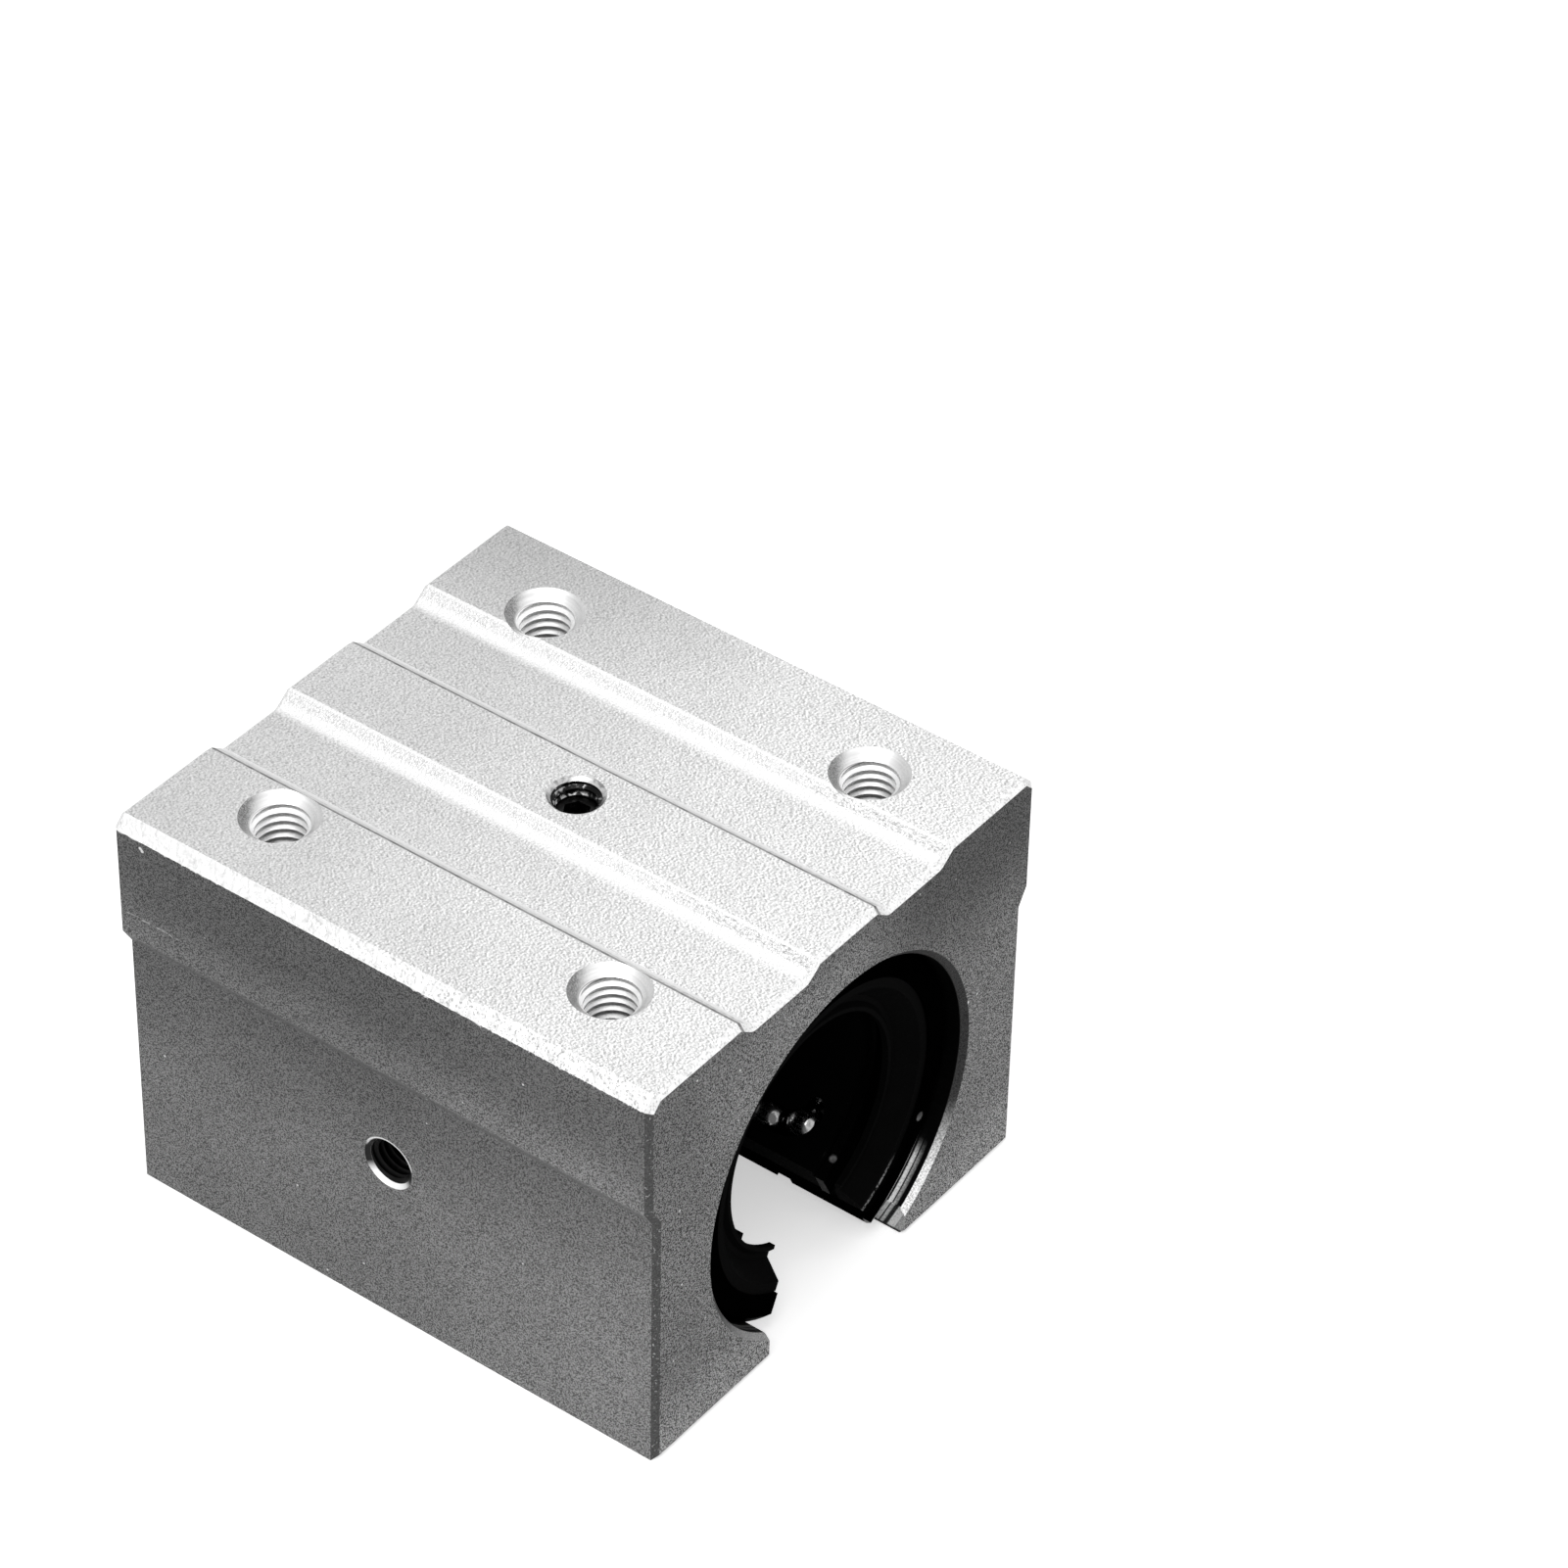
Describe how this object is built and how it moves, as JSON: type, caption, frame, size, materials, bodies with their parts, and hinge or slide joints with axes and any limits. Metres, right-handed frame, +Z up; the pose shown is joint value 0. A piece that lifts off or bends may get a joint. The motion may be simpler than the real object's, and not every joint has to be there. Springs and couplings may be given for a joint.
{
  "type": "open linear bearing block",
  "caption": "Aluminium housing with an open recirculating ball bush that slides along a supported round shaft.",
  "frame": {"origin": "centre of the underside, midway between the two jaws and midway along the bore", "axes": "+X along the bore towards the front end seal, +Z up through the tapped top face, -Y towards the side set screw"},
  "size_m": [0.065, 0.06, 0.047],
  "materials": {
    "housing_aluminium": "fine bead-blasted top, satin sides, milled end faces",
    "sleeve_steel": "ground and hardened",
    "retainer_plastic": "moulded, slightly glossy from grease",
    "ball_steel": "polished",
    "ring_steel": "plain",
    "seal_rubber": "moulded, oily",
    "screw_steel": "black oxide"
  },
  "bodies": {
    "root": {"housing": "housing_aluminium", "bush_sleeve": "sleeve_steel", "ball_retainer": "retainer_plastic", "ball_circuit_1": "ball_steel", "ball_circuit_2": "ball_steel", "ball_circuit_3": "ball_steel", "ball_circuit_4": "ball_steel", "ball_circuit_5": "ball_steel", "side_ring_front": "ring_steel", "side_ring_rear": "ring_steel", "end_seal_front": "seal_rubber", "end_seal_rear": "seal_rubber", "top_set_screw": "screw_steel", "side_set_screw": "screw_steel"}
  },
  "joints": []
}
